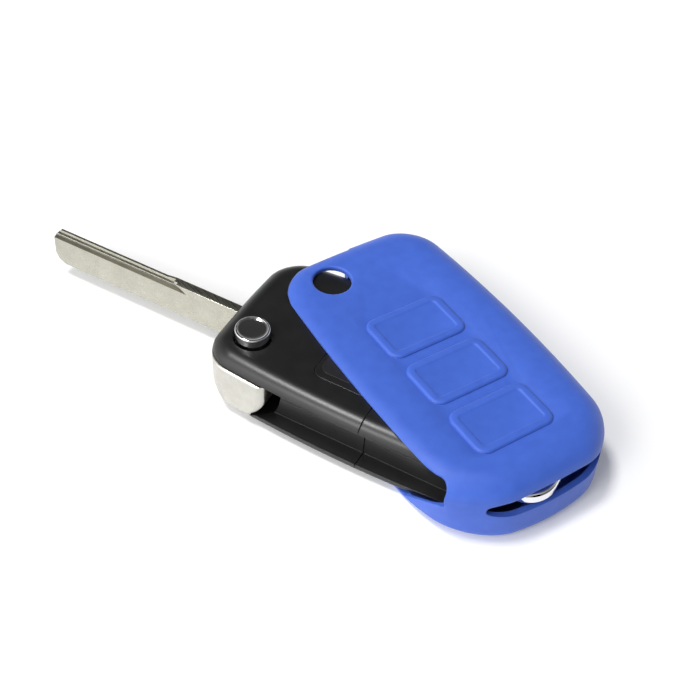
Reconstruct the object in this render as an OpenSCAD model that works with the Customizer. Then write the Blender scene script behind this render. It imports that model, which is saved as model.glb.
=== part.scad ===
// Soft silicone cover, swung half off the folding key that it protects.
// Millimetres. The cover lies flat on its underside with its plan centre at
// the origin, its head end (round button hole) towards +Y, its open long side
// towards -X and its top towards +Z. The key is drawn in its seated place and
// is then turned about the swing centre, as it lies half out of the cover.

/* [Cover] */
// Width of the closed outline at the ends
cover_w = 38.3; // [37.9:0.1:38.8]
// Length of the cover
cover_l = 76.3; // [75.8:0.1:77]
// Height of the cover
cover_h = 16.4; // [16.3:0.1:17]
// Thickness of the standing wall
wall_t = 1.3; // [1.1:0.1:1.5]
// Thickness of the bottom sheet
floor_t = 1.2; // [0.9:0.1:1.2]
// Thickness of the top sheet
roof_t = 1.1; // [0.9:0.1:1.1]
// Corner radius at the head end, closed side
head_corner_r = 9.2; // [9:0.1:9.6]
// Corner radius at the head end, open side
mouth_corner_r = 8; // [7.6:0.1:8.6]
// Corner radius at the tail end
tail_corner_r = 11; // [10.6:0.1:11.6]
// Bow of each long side at its middle
side_bow = 2.2; // [2:0.1:2.4]
// Bow of the tail edge
tail_bow = 1.3; // [1:0.1:1.5]
// Further swell of the tail's bottom edge about its middle, beyond the cover's length
tail_swell = 1; // [0.8:0.1:1.2]
// Bow of the head edge
head_bow = 0.6; // [0.4:0.1:0.8]
// Spread of the top sheet on the open side, pushed out by the key
lip_spread = 3.9; // [3.6:0.1:4.1]
// Distance from each end of the cover over which its top sheet's spread dies out
lip_end = 6.65; // [6.4:0.05:6.9]
// Sideways reach of the top edge rounding
top_round_w = 6; // [5.6:0.1:6.2]
// Height of the top edge rounding
top_round_h = 5; // [4.7:0.1:5.2]
// Radius of the bottom edge rounding
low_round_r = 3; // [2.8:0.1:3.1]
// Rounding inside the cover, bottom
inner_low_r = 1.8; // [1.6:0.1:1.9]
// Sideways reach of the rounding under the top sheet
inner_round_w = 4.6; // [4.4:0.1:4.8]
// Height of the rounding under the top sheet
inner_round_h = 4; // [3.8:0.1:4.2]
// Reach of the open lip from the centre, where its edge is cut blunt
lip_edge = 22; // [21.8:0.1:22.2]
// Radius of that edge, seen from above
lip_arc_r = 375; // [350:5:400]
// How far that edge's middle lies behind the centre
lip_arc_mid = 5; // [4:0.5:6]
// Middle of the spread length of the top sheet, behind the centre
lip_mid = 1; // [0:0.5:2]
// Middle of the spread length of the bottom sheet, before the centre
low_mid = 2; // [1:0.5:3]
// Half length over which the bottom sheet is spread
low_half = 27.5; // [27:0.5:28]
// Spread of the bottom sheet
low_spread = 2.2; // [2:0.1:2.4]
// Rounding inside the key's shells, top
key_inner_r = 1.6; // [1.4:0.1:1.8]
// Least radius that an inset keeps
least_r = 0.4; // [0.3:0.05:0.5]

/* [Cover openings] */
// Diameter of the hole for the release button
hole_d = 8.5; // [8.4:0.1:8.8]
// Bevel around that hole
hole_bevel = 0.5; // [0.4:0.05:0.6]
// Reach of the closed wall on the open side from the tail end
wall_reach = 8.05; // [7.9:0.05:8.2]
// Height of the open side's lower edge next to the wall
skirt_h = 8.6; // [8.4:0.1:8.8]
// Length over which that lower edge rises before the wall
skirt_l = 11.1; // [10.8:0.1:11.2]
// Radius of the upper corner of the side opening
mouth_r = 2.8; // [2.6:0.1:3]
// Radius of its lower corner, on the skirt
skirt_r = 1.2; // [1:0.1:1.4]
// Room between the blade's channel and the head wall
head_wall_gap = 0.85; // [0.7:0.05:1]
// Distance of the tail slot's ends from the cover's closed outline
slot_side = 4.35; // [4.2:0.05:4.5]
// Half height of the tail slot
slot_half_h = 2.4; // [2.3:0.1:2.5]
// Height of the bow behind the tail slot
slot_z = 9.5; // [9.45:0.05:9.6]
// How much higher the slot's centre lies
slot_lift = 0.3; // [0.2:0.05:0.4]
// How far a raised pad stays inside the button panel's edges below it
pad_in = 0.75; // [0.6:0.05:0.9]
// Distance of the first pad from the head end
pad_front = 24.35; // [24.2:0.05:24.5]
// Corner radius of a pad
pad_r = 2.6; // [2.2:0.1:3]
// Height of a pad above the sheet
pad_h = 0.3; // [0.2:0.05:0.4]
// Space between the pads
pad_space = 2.4; // [2.2:0.1:2.6]
// Distance of the last pad from the tail end
pad_back = 9.95; // [9.8:0.05:10.1]

/* [Key body] */
// Room between the key and the cover
key_gap = 0.45; // [0.4:0.05:0.5]
// Room between the key and the bottom and top sheets
sheet_gap = 0.3; // [0.2:0.05:0.3]
// Reach of the rounding on the key's upper edge
key_round_w = 3.6; // [3.4:0.1:3.8]
// Height of the rounding on the key's upper edge
key_round_h = 3.2; // [3:0.1:3.4]
// Rounding on the key's lower edge
key_low_round = 0.9; // [0.7:0.1:1.1]
// Thickness of the key's walls
shell_t = 1.2; // [1.1:0.1:1.3]
// Thickness of the key's bottom
key_floor_t = 1.4; // [1.3:0.1:1.5]
// Thickness of the key's top
key_roof_t = 1.6; // [1.5:0.1:1.7]
// Height at which upper and lower shells meet
split_z = 8; // [7.9:0.1:8.1]
// Gap at the parting lines
part_gap = 0.05; // [0.04:0.01:0.06]
// Gap around the button panel
panel_gap = 0.15; // [0.12:0.01:0.18]
// Least wall between the battery hatch and the parting line of the two units
seam_wall = 1; // [0.9:0.05:1.2]
// Greatest reach of the button panel over that parting line
panel_over = 15.2; // [15:0.05:15.4]
// Distance of the button panel's front edge from the cover's head end
panel_head = 25.35; // [25.2:0.05:25.5]
// Distance of the panel's edge from the closed outline, towards the blade's side
panel_near = 7.05; // [6.9:0.05:7.2]
// The same away from the blade's side
panel_far = 10.55; // [10.4:0.05:10.7]
// Radius of the panel's front corners
panel_r = 2.4; // [2.2:0.1:2.6]

/* [Swing] */
// Swing centre of the key, in from the open side
swing_side = 8.45; // [8.35:0.05:8.55]
// Swing centre of the key, in from the tail end
swing_end = 17.65; // [17.5:0.05:17.8]
// Angle at which the key lies out of the cover
swing_rest = 27.9; // [27.5:0.1:28.2]

/* [Blade and hub] */
// Pivot of the blade, in from its side
pivot_side = 9.8; // [9.75:0.05:9.85]
// Pivot of the blade, in from the head end
pivot_end = 9.8; // [9.75:0.05:9.85]
// Radius of the hub's round part
hub_r = 6.2; // [6:0.05:6.3]
// Largest radius that the hub's corners reach
hub_reach = 12.2; // [12.1:0.05:12.25]
// How far the hub stands out of the key's side
hub_out = 0.4; // [0.3:0.05:0.5]
// Rounding of the hub's lower edge
hub_low_r = 0.9; // [0.8:0.1:1]
// Rounding of the hub's upper edge
hub_top_r = 0.5; // [0.45:0.05:0.6]
// Radius of the hub's outer cheek
cheek_r = 11; // [10.9:0.05:11.1]
// Centre of that cheek behind the pivot
cheek_back = 3; // [2.9:0.1:3.1]
// How far the cheek draws in towards its bottom
cheek_low_w = 1.8; // [1.7:0.1:1.9]
// Height over which it draws in
cheek_low_h = 6; // [5.8:0.1:6.2]
// Reach of the hub's shoulder behind the pivot
shoulder_back = 8.6; // [8.4:0.1:8.7]
// Radius of the shoulder's upright edge
shoulder_r = 2.2; // [2:0.1:2.3]
// Radius of the shoulder's lower corner, seen from the side
shoulder_low_r = 7; // [6.8:0.1:7.2]
// Bottom of the blade slot
blade_slot_z0 = 3.1; // [3.05:0.05:3.15]
// Top of the blade slot
blade_slot_z1 = 12.6; // [12.55:0.05:12.65]
// Thickness of the key's bottom under the hub
hub_floor = 0.5; // [0.45:0.05:0.55]
// How far the bottom shell's corner stands back below the hub
corner_back = 2.2; // [2.1:0.1:2.4]
// Where that corner starts, behind the pivot
corner_start = 5; // [4.8:0.1:5.2]
// Running gap above the hub
hub_gap = 0.3; // [0.25:0.05:0.3]
// Running gap below the hub
hub_low_gap = 0.15; // [0.1:0.01:0.18]
// Distance of the blade's middle from the pivot
blade_off = 8; // [7.9:0.05:8.05]
// Thickness of the blade
blade_t = 2.2; // [2.1:0.05:2.3]
// Height of the blade
blade_h = 8.8; // [8.6:0.1:8.9]
// Height of the blade's tang
tang_h = 6.4; // [6.2:0.1:6.6]
// How much shorter the blade is than the cover
blade_less = 19.1; // [18.9:0.1:19.3]
// How much lower the blade's top edge is before its shoulder
blade_step = 0.4; // [0.3:0.05:0.5]
// Length of the bevelled tip
tip_l = 2.6; // [2.4:0.1:2.8]
// Width of the groove along the blade's top edge
groove_w = 0.9; // [0.8:0.05:1]
// Depth of that groove
groove_d = 0.45; // [0.4:0.05:0.5]
// Distance from the pivot to where the groove ends
groove_end = 25; // [24:0.5:26]
// Bevel along the blade's lower edge
edge_bevel = 0.5; // [0.4:0.05:0.6]
// Reach of the hub's block before the pivot
block_front = 6.4; // [6.3:0.1:6.5]
// Reach of the hub's block behind the pivot
block_back = 4; // [3.9:0.1:4.2]
// Side of the block nearest to the pivot
block_in = 3; // [2.8:0.1:3.2]
// Radius of the pocket that the hub turns in
pocket_r = 12.6; // [12.5:0.05:12.65]
// How far hub and pocket draw in towards their bottom
bowl_w = 2.7; // [2.5:0.1:2.9]
// Height over which they draw in
bowl_h = 7; // [6.8:0.1:7.2]
// Wall around that pocket
pocket_wall = 0.9; // [0.8:0.05:1]
// Room beside the folded blade
fold_gap = 0.4; // [0.35:0.05:0.45]
// Wall between the cross pin and the release button's seat
tang_root = 0.4; // [0.35:0.05:0.45]
// Diameter of the cross pin through the tang
tang_pin_d = 1.6; // [1.5:0.05:1.7]
// Diameter of the hub's bottom pin
hub_pin_d = 3.4; // [3.3:0.05:3.5]
// How deep the pin stands in the bottom shell
hub_pin_root = 0.4; // [0.35:0.05:0.4]
// Running fit around pins, each side
run_fit = 0.06; // [0.05:0.01:0.08]
// Outer diameter of the flip spring's seat
flip_seat_d = 9; // [8.9:0.1:9.1]
// Height of the flip spring's seat
flip_seat_h = 2.4; // [2.3:0.05:2.5]
// Wire width of the coiled springs
wire_d = 0.5; // [0.45:0.05:0.5]

/* [Release button] */
// Diameter of the release button
release_d = 7.5; // [7.4:0.05:7.6]
// Diameter of the hole in the key for it
release_hole_d = 8.5; // [8.45:0.05:8.6]
// Height of the button's top above the cover's top sheet
release_proud = 1; // [0.9:0.05:1.05]
// Diameter of the button's retaining flange
release_flange_d = 9.5; // [9.4:0.05:9.55]
// Thickness of that flange
release_flange_t = 0.9; // [0.85:0.05:0.95]
// Diameter of the button's stem
release_stem_d = 3.4; // [3.3:0.05:3.5]
// Length of the stem below the flange
release_stem_l = 4.2; // [4.15:0.05:4.25]
// Diameter of the seat in the hub for button and spring
release_seat_d = 9.7; // [9.65:0.05:9.8]
// Bottom of that seat
release_seat_z = 7.6; // [7.55:0.05:7.65]
// Travel of the release button
release_travel = 1.5; // [1.4:0.05:1.5]
// Radius of the dish in the button's top
dish_r = 3; // [2.9:0.05:3.1]
// Depth of the dish
dish_d = 0.9; // [0.8:0.05:1]
// Bevel of the button's rim
rim_bevel = 0.4; // [0.35:0.05:0.45]

/* [Remote buttons] */
// How far a remote button stays inside the panel's edges
button_side = 1.8; // [1.6:0.05:2]
// How far a remote button stays inside the pad above it, each end
button_inset = 1.9; // [1.8:0.05:2]
// Corner radius of a remote button
key_button_r = 2; // [1.8:0.1:2.2]
// Gap around a remote button
key_button_gap = 0.25; // [0.22:0.01:0.28]
// Height of a remote button above the panel
key_button_proud = 0.05; // [0.03:0.01:0.08]
// Reach of a remote button's flange
flange_reach = 0.9; // [0.8:0.05:1]
// Thickness of a remote button's flange
flange_t = 0.7; // [0.65:0.05:0.75]
// Room above the flange
flange_gap = 0.3; // [0.25:0.05:0.3]
// Travel of a remote button
key_travel = 0.6; // [0.5:0.05:0.6]

/* [Inside the remote] */
// Thickness of the circuit board
board_t = 0.9; // [0.8:0.05:1]
// Room from the shells to the circuit board
board_gap = 0.7; // [0.6:0.05:0.8]
// Distance of the circuit board from the cover's tail end
board_end = 10.75; // [10.6:0.05:10.9]
// Distance of the circuit board from the cover's head end
board_head = 25.55; // [25.4:0.05:25.7]
// Diameter of the posts under the board
post_d = 2.4; // [2.2:0.1:2.6]
// Thickness of the button mat
mat_t = 0.8; // [0.75:0.05:0.85]
// Height of a switch on the board
switch_h = 1.4; // [1.3:0.05:1.5]
// Width of a switch
switch_w = 4.5; // [4.3:0.1:4.7]
// Corner radius of a switch
switch_r = 0.3; // [0.25:0.05:0.35]
// Size of the nub above each switch
nub_d = 2.6; // [2.4:0.1:2.8]
// Length of that nub
nub_l = 0.4; // [0.3:0.05:0.5]
// Width of the larger chip
chip_w = 5; // [4.8:0.1:5.2]
// Height of the chips
chip_h = 0.8; // [0.7:0.05:0.9]
// Diameter of the battery
cell_d = 20; // [19.8:0.1:20.2]
// Room between the battery and the board
cell_room = 1.55; // [1.45:0.05:1.65]
// Room between the battery and the blade channel's wall
cell_side = 1.25; // [1.1:0.05:1.4]
// Battery centre, before the board's tail end
cell_end = 13; // [12.9:0.1:13.1]
// Thickness of the battery contacts
leaf_t = 0.25; // [0.2:0.01:0.3]
// Width of the battery contacts
leaf_w = 4; // [3.8:0.1:4.2]
// Diameter of the battery hatch
hatch_d = 22; // [21.8:0.1:22.2]
// Gap around the hatch
hatch_gap = 0.12; // [0.1:0.01:0.15]
// Width of the coin groove in the hatch
coin_w = 1.6; // [1.5:0.05:1.7]
// Length of the coin groove
coin_l = 14; // [13.5:0.5:14.5]
// Depth of the coin groove
coin_d = 0.6; // [0.5:0.05:0.7]

/* [Bow, capsule and screws] */
// Distance of the metal bow's sides from the cover's closed outline
bow_side = 4.35; // [4.3:0.05:4.5]
// How far the bow stands out past the cover's tail when the key is seated
bow_out = 3.15; // [3:0.05:3.3]
// How far the bow sits off the middle, towards the blade's side
bow_shift = 0.6; // [0.4:0.1:0.7]
// Corner radius of the bow
bow_r = 7; // [6.8:0.1:7.2]
// Width of the bow's bar
bow_bar = 2.5; // [2.4:0.1:2.6]
// Thickness of the bow
bow_t = 2.8; // [2.7:0.05:2.9]
// Depth of the bow, from its back to the ends of its legs
bow_depth = 12.7; // [12.5:0.1:12.9]
// How far the key's body holds each leg of the bow across
leg_hold = 4.8; // [4.6:0.1:5]
// Free depth of the bow behind the key's body
bow_free = 9.7; // [9.5:0.1:9.9]
// Diameter of the glass capsule
capsule_d = 3; // [2.8:0.1:3.1]
// Length of the glass capsule
capsule_l = 12; // [11.5:0.1:12.5]
// Capsule centre, away from the blade's side
capsule_x = 9; // [8.8:0.1:9.2]
// Capsule centre, behind the blade's pivot
capsule_back = 10.65; // [10.5:0.05:10.8]
// Diameter of a screw shank
screw_d = 2; // [1.9:0.05:2.1]
// Diameter of a screw head
screw_head_d = 4; // [3.8:0.1:4.2]
// Height of a screw head
screw_head_h = 1.3; // [1.2:0.05:1.4]
// Diameter of a screw boss
boss_d = 5; // [4.8:0.1:5.2]
// Head screw, in from the closed outline
head_screw_side = 9.55; // [9.45:0.05:9.65]
// Head screw, behind the blade's pivot
head_screw_back = 1.75; // [1.65:0.05:1.85]
// Tail screw, in from the closed outline
tail_screw_side = 5.95; // [5.85:0.05:6.05]
// Tail screw position along, behind the centre
tail_screw_y = 9; // [8.9:0.1:9.1]

/* [Hidden] */

// Steps of the round forms
corner_steps = 8;
side_steps = 6;
round_steps = 5;
fine = 64;
small = 32;
lip_power = 8;
coil_turns = 2;
coil_steps = 16;
lip_steps = 720;
wire_sides = 8;

// One overrun for all cuts
over = hole_bevel;

// Half sizes, and what lies at a fixed distance from the cover's ends and sides
half_w = cover_w / 2;
half_l = cover_l / 2;
lip_half = half_l - lip_end;
wall_start = half_l - wall_reach;
skirt_start = wall_start - skirt_l;
slot_half_w = half_w - slot_side;
swing_x = half_w - swing_side;
swing_y = half_l - swing_end;
pivot_x = half_w - pivot_side;
pivot_y = half_l - pivot_end;
blade_l = cover_l - blade_less;
panel_front = half_l - panel_head;
panel_left = half_w - panel_near;
panel_right = half_w - panel_far;
pad_w = panel_left + panel_right - 2 * pad_in;
pad_l = (cover_l - pad_front - pad_back - 2 * pad_space) / 3;
pad_y = (pad_front - pad_back) / 2;
key_button_w = panel_left + panel_right - 2 * button_side;
key_button_l = pad_l - 2 * button_inset;
board_tail = half_l - board_end;
board_front = half_l - board_head;
cell_y = board_tail - cell_end;
seam_y = min(cell_y - hatch_d / 2 - seam_wall, panel_over - panel_front);
bow_half_w = half_w - bow_side;
bow_reach = half_l + bow_out;
bow_legs = bow_reach - bow_depth;
notch_half_w = bow_half_w - leg_hold;
notch_y = bow_reach - bow_free;
capsule_y = pivot_y - capsule_back;
head_screw_x = half_w - head_screw_side;
head_screw_y = pivot_y - head_screw_back;
tail_screw_x = half_w - tail_screw_side;

// Heights
roof_z = cover_h - roof_t;
key_z0 = floor_t + sheet_gap;
key_z1 = roof_z - sheet_gap;
key_in_z0 = key_z0 + key_floor_t;
key_in_z1 = key_z1 - key_roof_t;
pocket_z0 = key_z0 + hub_floor;
hub_z0 = pocket_z0 + hub_low_gap;
hub_z1 = blade_slot_z1 - hub_gap;
blade_z = (blade_slot_z0 + blade_slot_z1) / 2;
release_top = cover_h + release_proud;

// Spread of the open side: how far, about which place, over which half length; swell of the tail
top_lip = [lip_spread, -lip_mid, lip_half, 0];
low_lip = [low_spread, low_mid, low_half, tail_swell];
no_lip = [0, 0, lip_half, 0];

// Key outline, inside the cover's wall
key_inset = wall_t + key_gap;

// Release button's lower end, and the hub's bottom pin below it when it is pressed
stem_z0 = hub_z1 - release_flange_t - release_stem_l;
hub_pin_top = stem_z0 - release_travel - hub_low_gap;

// Board and button heights
flange_z1 = key_in_z1 - flange_gap;
flange_z0 = flange_z1 - flange_t;
mat_z1 = flange_z0 - key_travel - hub_gap;
mat_z0 = mat_z1 - mat_t;
board_z1 = mat_z0 - nub_l - switch_h;
board_z0 = board_z1 - board_t;
board_left = panel_left + board_gap;
board_right = panel_right - board_gap;
button_x = (panel_right - panel_left) / 2;
button_ys = [for (i = [-1 : 1]) -pad_y - i * (pad_l + pad_space)];
cell_z0 = key_in_z0 + leaf_t + 2 * part_gap;
cell_z1 = board_z0 - cell_room;
slot_in = pivot_x + blade_off - blade_t / 2 - fold_gap;
cell_x = slot_in - shell_t - cell_side - cell_d / 2;
channel_x = -pivot_x + blade_off + blade_t / 2 + fold_gap;
block_out = blade_off + blade_t / 2;
shoulder_x = sqrt(pow(hub_reach - shoulder_r, 2) - pow(shoulder_back - shoulder_r, 2));
post_spots = [
    [-board_left + post_d, -board_tail + post_d],
    [board_right - post_d, -board_tail + post_d],
    [-board_left + post_d, board_front - post_d],
    [board_right - post_d, board_front - post_d]];

// Quarter circle of points about a corner's centre
function corner(cx, cy, r, a0) = [for (i = [0 : corner_steps])
    [cx + r * cos(a0 + 90 * i / corner_steps), cy + r * sin(a0 + 90 * i / corner_steps)]];

// Points between two ends, without the ends
function between(a, b) = [for (i = [1 : side_steps - 1]) a + (b - a) * i / side_steps];

// Plain rounded rectangle, head end towards +Y
function plain(w, l, rh, rm, rt) = let (
    x = w / 2, y = l / 2) concat(
    corner(x - rt, rt - y, rt, -90),
    between([x, rt - y], [x, y - rh]),
    corner(x - rh, y - rh, rh, 0),
    between([x - rh, y], [rm - x, y]),
    corner(rm - x, y - rm, rm, 90),
    between([-x, y - rm], [-x, rt - y]),
    corner(rt - x, rt - y, rt, 180),
    between([rt - x, -y], [x - rt, -y]));

// The same with bowed sides and ends; lip_of is the open side's spread, its middle and half length
function bowed(q, w, l, lip_of) = let (
    u = 2 * q.x / w, v = 2 * q.y / l,
    side = side_bow * (1 - v * v) * u * abs(u),
    lip = u < 0 ? -lip_of.x * u * u / (1 + pow(abs(q.y - lip_of.y) / lip_of.z, lip_power)) : 0,
    end = v > 0 ? head_bow * (1 - u * u) : -tail_bow * (1 - u * u) - lip_of[3] * pow(1 - u * u, 3))
    [q.x + side + lip, q.y + end * v * v];

function shrunk(r, d) = max(r - d, least_r);

function outline(d, lip_of) = let (
    w = cover_w - 2 * d, l = cover_l - 2 * d - head_bow - tail_bow)
    [for (q = plain(w, l, shrunk(head_corner_r, d), shrunk(mouth_corner_r, d),
        shrunk(tail_corner_r, d))) bowed(q, w, l, lip_of) + [0, (tail_bow - head_bow) / 2]];

function ring(d, lip_of, z) = [for (q = outline(d, lip_of)) [q.x, q.y, z]];

// Closed solid through a stack of rings of equal count
module loft(rings) {
    n = len(rings[0]);
    m = len(rings);
    sides = [for (k = [0 : m - 2]) for (i = [0 : n - 1]) let (
        a = k * n + i, b = k * n + (i + 1) % n) each [[a, a + n, b + n], [a, b + n, b]]];
    caps = [[for (i = [0 : n - 1]) i], [for (i = [n - 1 : -1 : 0]) (m - 1) * n + i]];
    polyhedron(points = [for (r = rings) each r], faces = concat(caps, sides));
}

// Outline solid, inset d, with rounded lower and upper edges and their spreads
module pillow(d, low_lip, top_lip, z0, z1, low, top_w, top_h) {
    lower = [for (i = [0 : round_steps]) let (a = 90 * i / round_steps)
        ring(d + low * (1 - sin(a)), low_lip, z0 + low * (1 - cos(a)))];
    upper = [for (i = [0 : round_steps]) let (a = 90 * i / round_steps)
        ring(d + top_w * (1 - cos(a)), top_lip, z1 - top_h * (1 - sin(a)))];
    loft(concat(lower, upper));
}

// Box between two corners
module box(a, b) {
    translate(a)
        cube(b - a);
}

// Upright block with rounded corners, centred in plan
module slab(w, l, r, z0, z1) {
    translate([0, 0, z0]) {
        linear_extrude(z1 - z0) {
            square([w - 2 * r, l], center = true);
            square([w, l - 2 * r], center = true);
            for (x = [r - w / 2, w / 2 - r])
                for (y = [r - l / 2, l / 2 - r])
                    translate([x, y])
                        circle(r, $fn = small);
        }
    }
}

// Upright rod
module rod(d, z0, z1, steps) {
    translate([0, 0, z0])
        cylinder(d = d, h = z1 - z0, $fn = steps);
}

// Turns what is drawn in its seated place to where the key lies
module swung() {
    translate([-swing_x, -swing_y, 0])
        rotate(swing_rest)
            translate([swing_x, swing_y, 0])
                children();
}

module at_pivot() {
    translate([-pivot_x, pivot_y, 0])
        children();
}

// Opening of the long side, drawn across and swept through the wall
module side_mouth() {
    y0 = skirt_r - wall_start;
    y1 = mouth_r - wall_start;
    z0 = skirt_h + skirt_r;
    z1 = roof_z - mouth_r;
    turns = [for (i = [0 : round_steps]) 90 * i / round_steps];
    rows = concat([[cover_l, floor_t], [-skirt_start, floor_t]],
        [for (a = turns) [y0 - skirt_r * sin(a), z0 - skirt_r * cos(a)]],
        [for (a = turns) [y1 - mouth_r * cos(a), z1 + mouth_r * sin(a)]],
        [[cover_l, roof_z]]);
    multmatrix([[0, 0, 1, -cover_w], [1, 0, 0, 0], [0, 1, 0, 0], [0, 0, 0, 1]])
        linear_extrude(cover_w - slot_in + fold_gap)
            polygon(rows);
}

// Almond shaped slot through the tail wall
module tail_slot() {
    n = fine;
    rows = [for (i = [0 : n - 1]) let (c = cos(360 * i / n), s = sin(360 * i / n))
        [slot_half_w * sign(c) * pow(abs(c), 2 / 3), slot_half_h * sign(s) * pow(abs(s), 2 / 3)]];
    translate([0, -cover_l / 2 + tail_corner_r, slot_z + slot_lift])
        rotate([90, 0, 0])
            linear_extrude(2 * tail_corner_r)
                polygon(rows);
}

// What lies beyond the open lip's slightly bowed edge
module beyond_lip() {
    difference() {
        box([-cover_w, -cover_l, -over], [0, cover_l, cover_h + over]);
        translate([lip_arc_r - lip_edge, -lip_arc_mid, 0])
            rod(2 * lip_arc_r, -2 * over, cover_h + 2 * over, lip_steps);
    }
}

module silicone_cover() {
    color("royalblue") {
        difference() {
            union() {
                pillow(0, low_lip, top_lip, 0, cover_h, low_round_r, top_round_w, top_round_h);
                for (y = button_ys)
                    translate([button_x, y, 0])
                        slab(pad_w, pad_l, pad_r, roof_z + roof_t / 2, cover_h + pad_h);
            }
            pillow(wall_t, low_lip, top_lip, floor_t, roof_z, inner_low_r, inner_round_w, inner_round_h);
            side_mouth();
            box([-cover_w, pivot_y - pocket_r, floor_t], [channel_x + head_wall_gap, cover_l, roof_z]);
            beyond_lip();
            tail_slot();
            at_pivot() {
                rod(hole_d, roof_z - over, cover_h + over, fine);
                translate([0, 0, cover_h - hole_bevel])
                    cylinder(d1 = hole_d, d2 = hole_d + 4 * hole_bevel, h = 2 * hole_bevel, $fn = fine);
            }
        }
    }
}

// Whole key body without its inside
module key_block() {
    pillow(key_inset, no_lip, no_lip, key_z0, key_z1, key_low_round, key_round_w, key_round_h);
}

// Room inside the key
module key_room() {
    difference() {
        pillow(key_inset + shell_t, no_lip, no_lip, key_in_z0, key_in_z1, least_r, key_inner_r, key_inner_r);
        box([-cover_w, -cover_l, 0], [shell_t - slot_in, cover_l, cover_h]);
        at_pivot()
            rod(2 * (pocket_r + pocket_wall), 0, cover_h, fine);
        box([-cover_w, pivot_y, 0], [channel_x + pocket_wall, cover_l, cover_h]);
        box([-notch_half_w - shell_t, -cover_l, 0], [notch_half_w + shell_t, shell_t - notch_y, cover_h]);
    }
}

// Space that the hub, the blade and the tail notch take from the key
module key_cuts() {
    at_pivot()
        bowl(pocket_r, bowl_w, bowl_h, pocket_z0, blade_slot_z1);
    box([-cover_w, pivot_y, blade_slot_z0], [channel_x, cover_l, blade_slot_z1]);
    box([-cover_w, pivot_y - blade_l - fold_gap, blade_slot_z0], [-slot_in, pivot_y, blade_slot_z1]);
    box([-notch_half_w, -cover_l, 0], [notch_half_w, -notch_y, cover_h]);
}

// Region of the remote unit, grown by g; the panel counts for the upper side
module remote_zone(g, panel) {
    box([-cover_w, -cover_l, -over], [cover_w, g - seam_y, cover_h + over]);
    if (panel)
        translate([button_x, panel_front - half_l, 0])
            slab(panel_left + panel_right + 2 * g, cover_l + 2 * g, panel_r + g, -over, cover_h + over);
}

// What the bottom shell's corner loses so that it stands back below the hub
module corner_trim() {
    difference() {
        box([-cover_w, pivot_y - corner_start, 0], [-pivot_x, cover_l, blade_slot_z0 + over]);
        pillow(key_inset + corner_back, no_lip, no_lip, key_z0, key_z1, least_r, least_r, least_r);
    }
}

module bosses(z0, z1) {
    translate([head_screw_x, head_screw_y, 0])
        rod(boss_d, z0, z1, small);
    translate([tail_screw_x, -tail_screw_y, 0])
        rod(boss_d, z0, z1, small);
}

module screw_bores(d, z0, z1) {
    translate([head_screw_x, head_screw_y, 0])
        rod(d, z0, z1, small);
    translate([tail_screw_x, -tail_screw_y, 0])
        rod(d, z0, z1, small);
}

module upper_half() {
    difference() {
        intersection() {
            key_block();
            box([-cover_w, -cover_l, split_z + part_gap], [cover_w, cover_l, cover_h]);
        }
        difference() {
            key_room();
            bosses(0, cover_h);
        }
        key_cuts();
        bow_plate(part_gap);
        screw_bores(screw_d + 2 * part_gap, 0, key_in_z1);
    }
}

module lower_half() {
    difference() {
        intersection() {
            key_block();
            box([-cover_w, -cover_l, 0], [cover_w, cover_l, split_z - part_gap]);
        }
        difference() {
            key_room();
            bosses(0, cover_h);
        }
        key_cuts();
        bow_plate(part_gap);
        screw_bores(screw_d + 2 * part_gap, 0, cover_h);
        screw_bores(screw_head_d + 2 * part_gap, -over, key_z0 + screw_head_h + part_gap);
    }
}

module head_upper_shell() {
    color("dimgray")
        swung()
            difference() {
                upper_half();
                remote_zone(panel_gap / 2, true);
                at_pivot()
                    rod(release_hole_d, blade_slot_z1 - over, cover_h, fine);
            }
}

module head_lower_shell() {
    color("dimgray")
        swung()
            difference() {
                union() {
                    lower_half();
                    capsule_cradle();
                }
                remote_zone(panel_gap / 2, false);
                at_pivot()
                    rod(hub_pin_d + 2 * part_gap, pocket_z0 - hub_pin_root, split_z, small);
                corner_trim();
            }
}

module remote_upper_shell() {
    color("dimgray")
        swung()
            difference() {
                intersection() {
                    upper_half();
                    remote_zone(-panel_gap / 2, true);
                }
                for (y = button_ys)
                    translate([button_x, y, 0])
                        slab(key_button_w + 2 * key_button_gap, key_button_l + 2 * key_button_gap,
                            key_button_r + key_button_gap, key_in_z1 - over, cover_h);
            }
}

module remote_lower_shell() {
    color("dimgray")
        swung()
            difference() {
                intersection() {
                    union() {
                        lower_half();
                        for (q = post_spots)
                            translate(q)
                                rod(post_d, key_in_z0 - part_gap, board_z0 - part_gap, small);
                    }
                    remote_zone(-panel_gap / 2, false);
                }
                translate([-cell_x, -cell_y, 0])
                    rod(hatch_d + 2 * hatch_gap, 0, key_in_z0 + over, fine);
            }
}

// Blank round lid over the battery, opened with a coin
module battery_hatch() {
    color("gray")
        swung()
            translate([-cell_x, -cell_y, 0])
                difference() {
                    rod(hatch_d, key_z0, key_in_z0 - part_gap, fine);
                    box([-coin_l / 2, -coin_w / 2, 0], [coin_l / 2, coin_w / 2, key_z0 + coin_d]);
                }
}

// Bow for the key ring, grown by g
module bow_plate(g) {
    y0 = -bow_reach;
    difference() {
        translate([-bow_shift, (y0 - bow_legs) / 2 + bow_r, slot_z - bow_t / 2])
            slab(2 * bow_half_w + 2 * g, bow_reach - bow_legs + 2 * bow_r + 2 * g,
                bow_r, -g, bow_t + g);
        box([g - bow_half_w + bow_bar - bow_shift, -bow_reach + bow_bar + g, 0],
            [bow_half_w - bow_bar - g - bow_shift, 0, cover_h]);
        box([-cover_w, g - bow_legs, 0], [cover_w, cover_l, cover_h]);
    }
}

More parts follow.
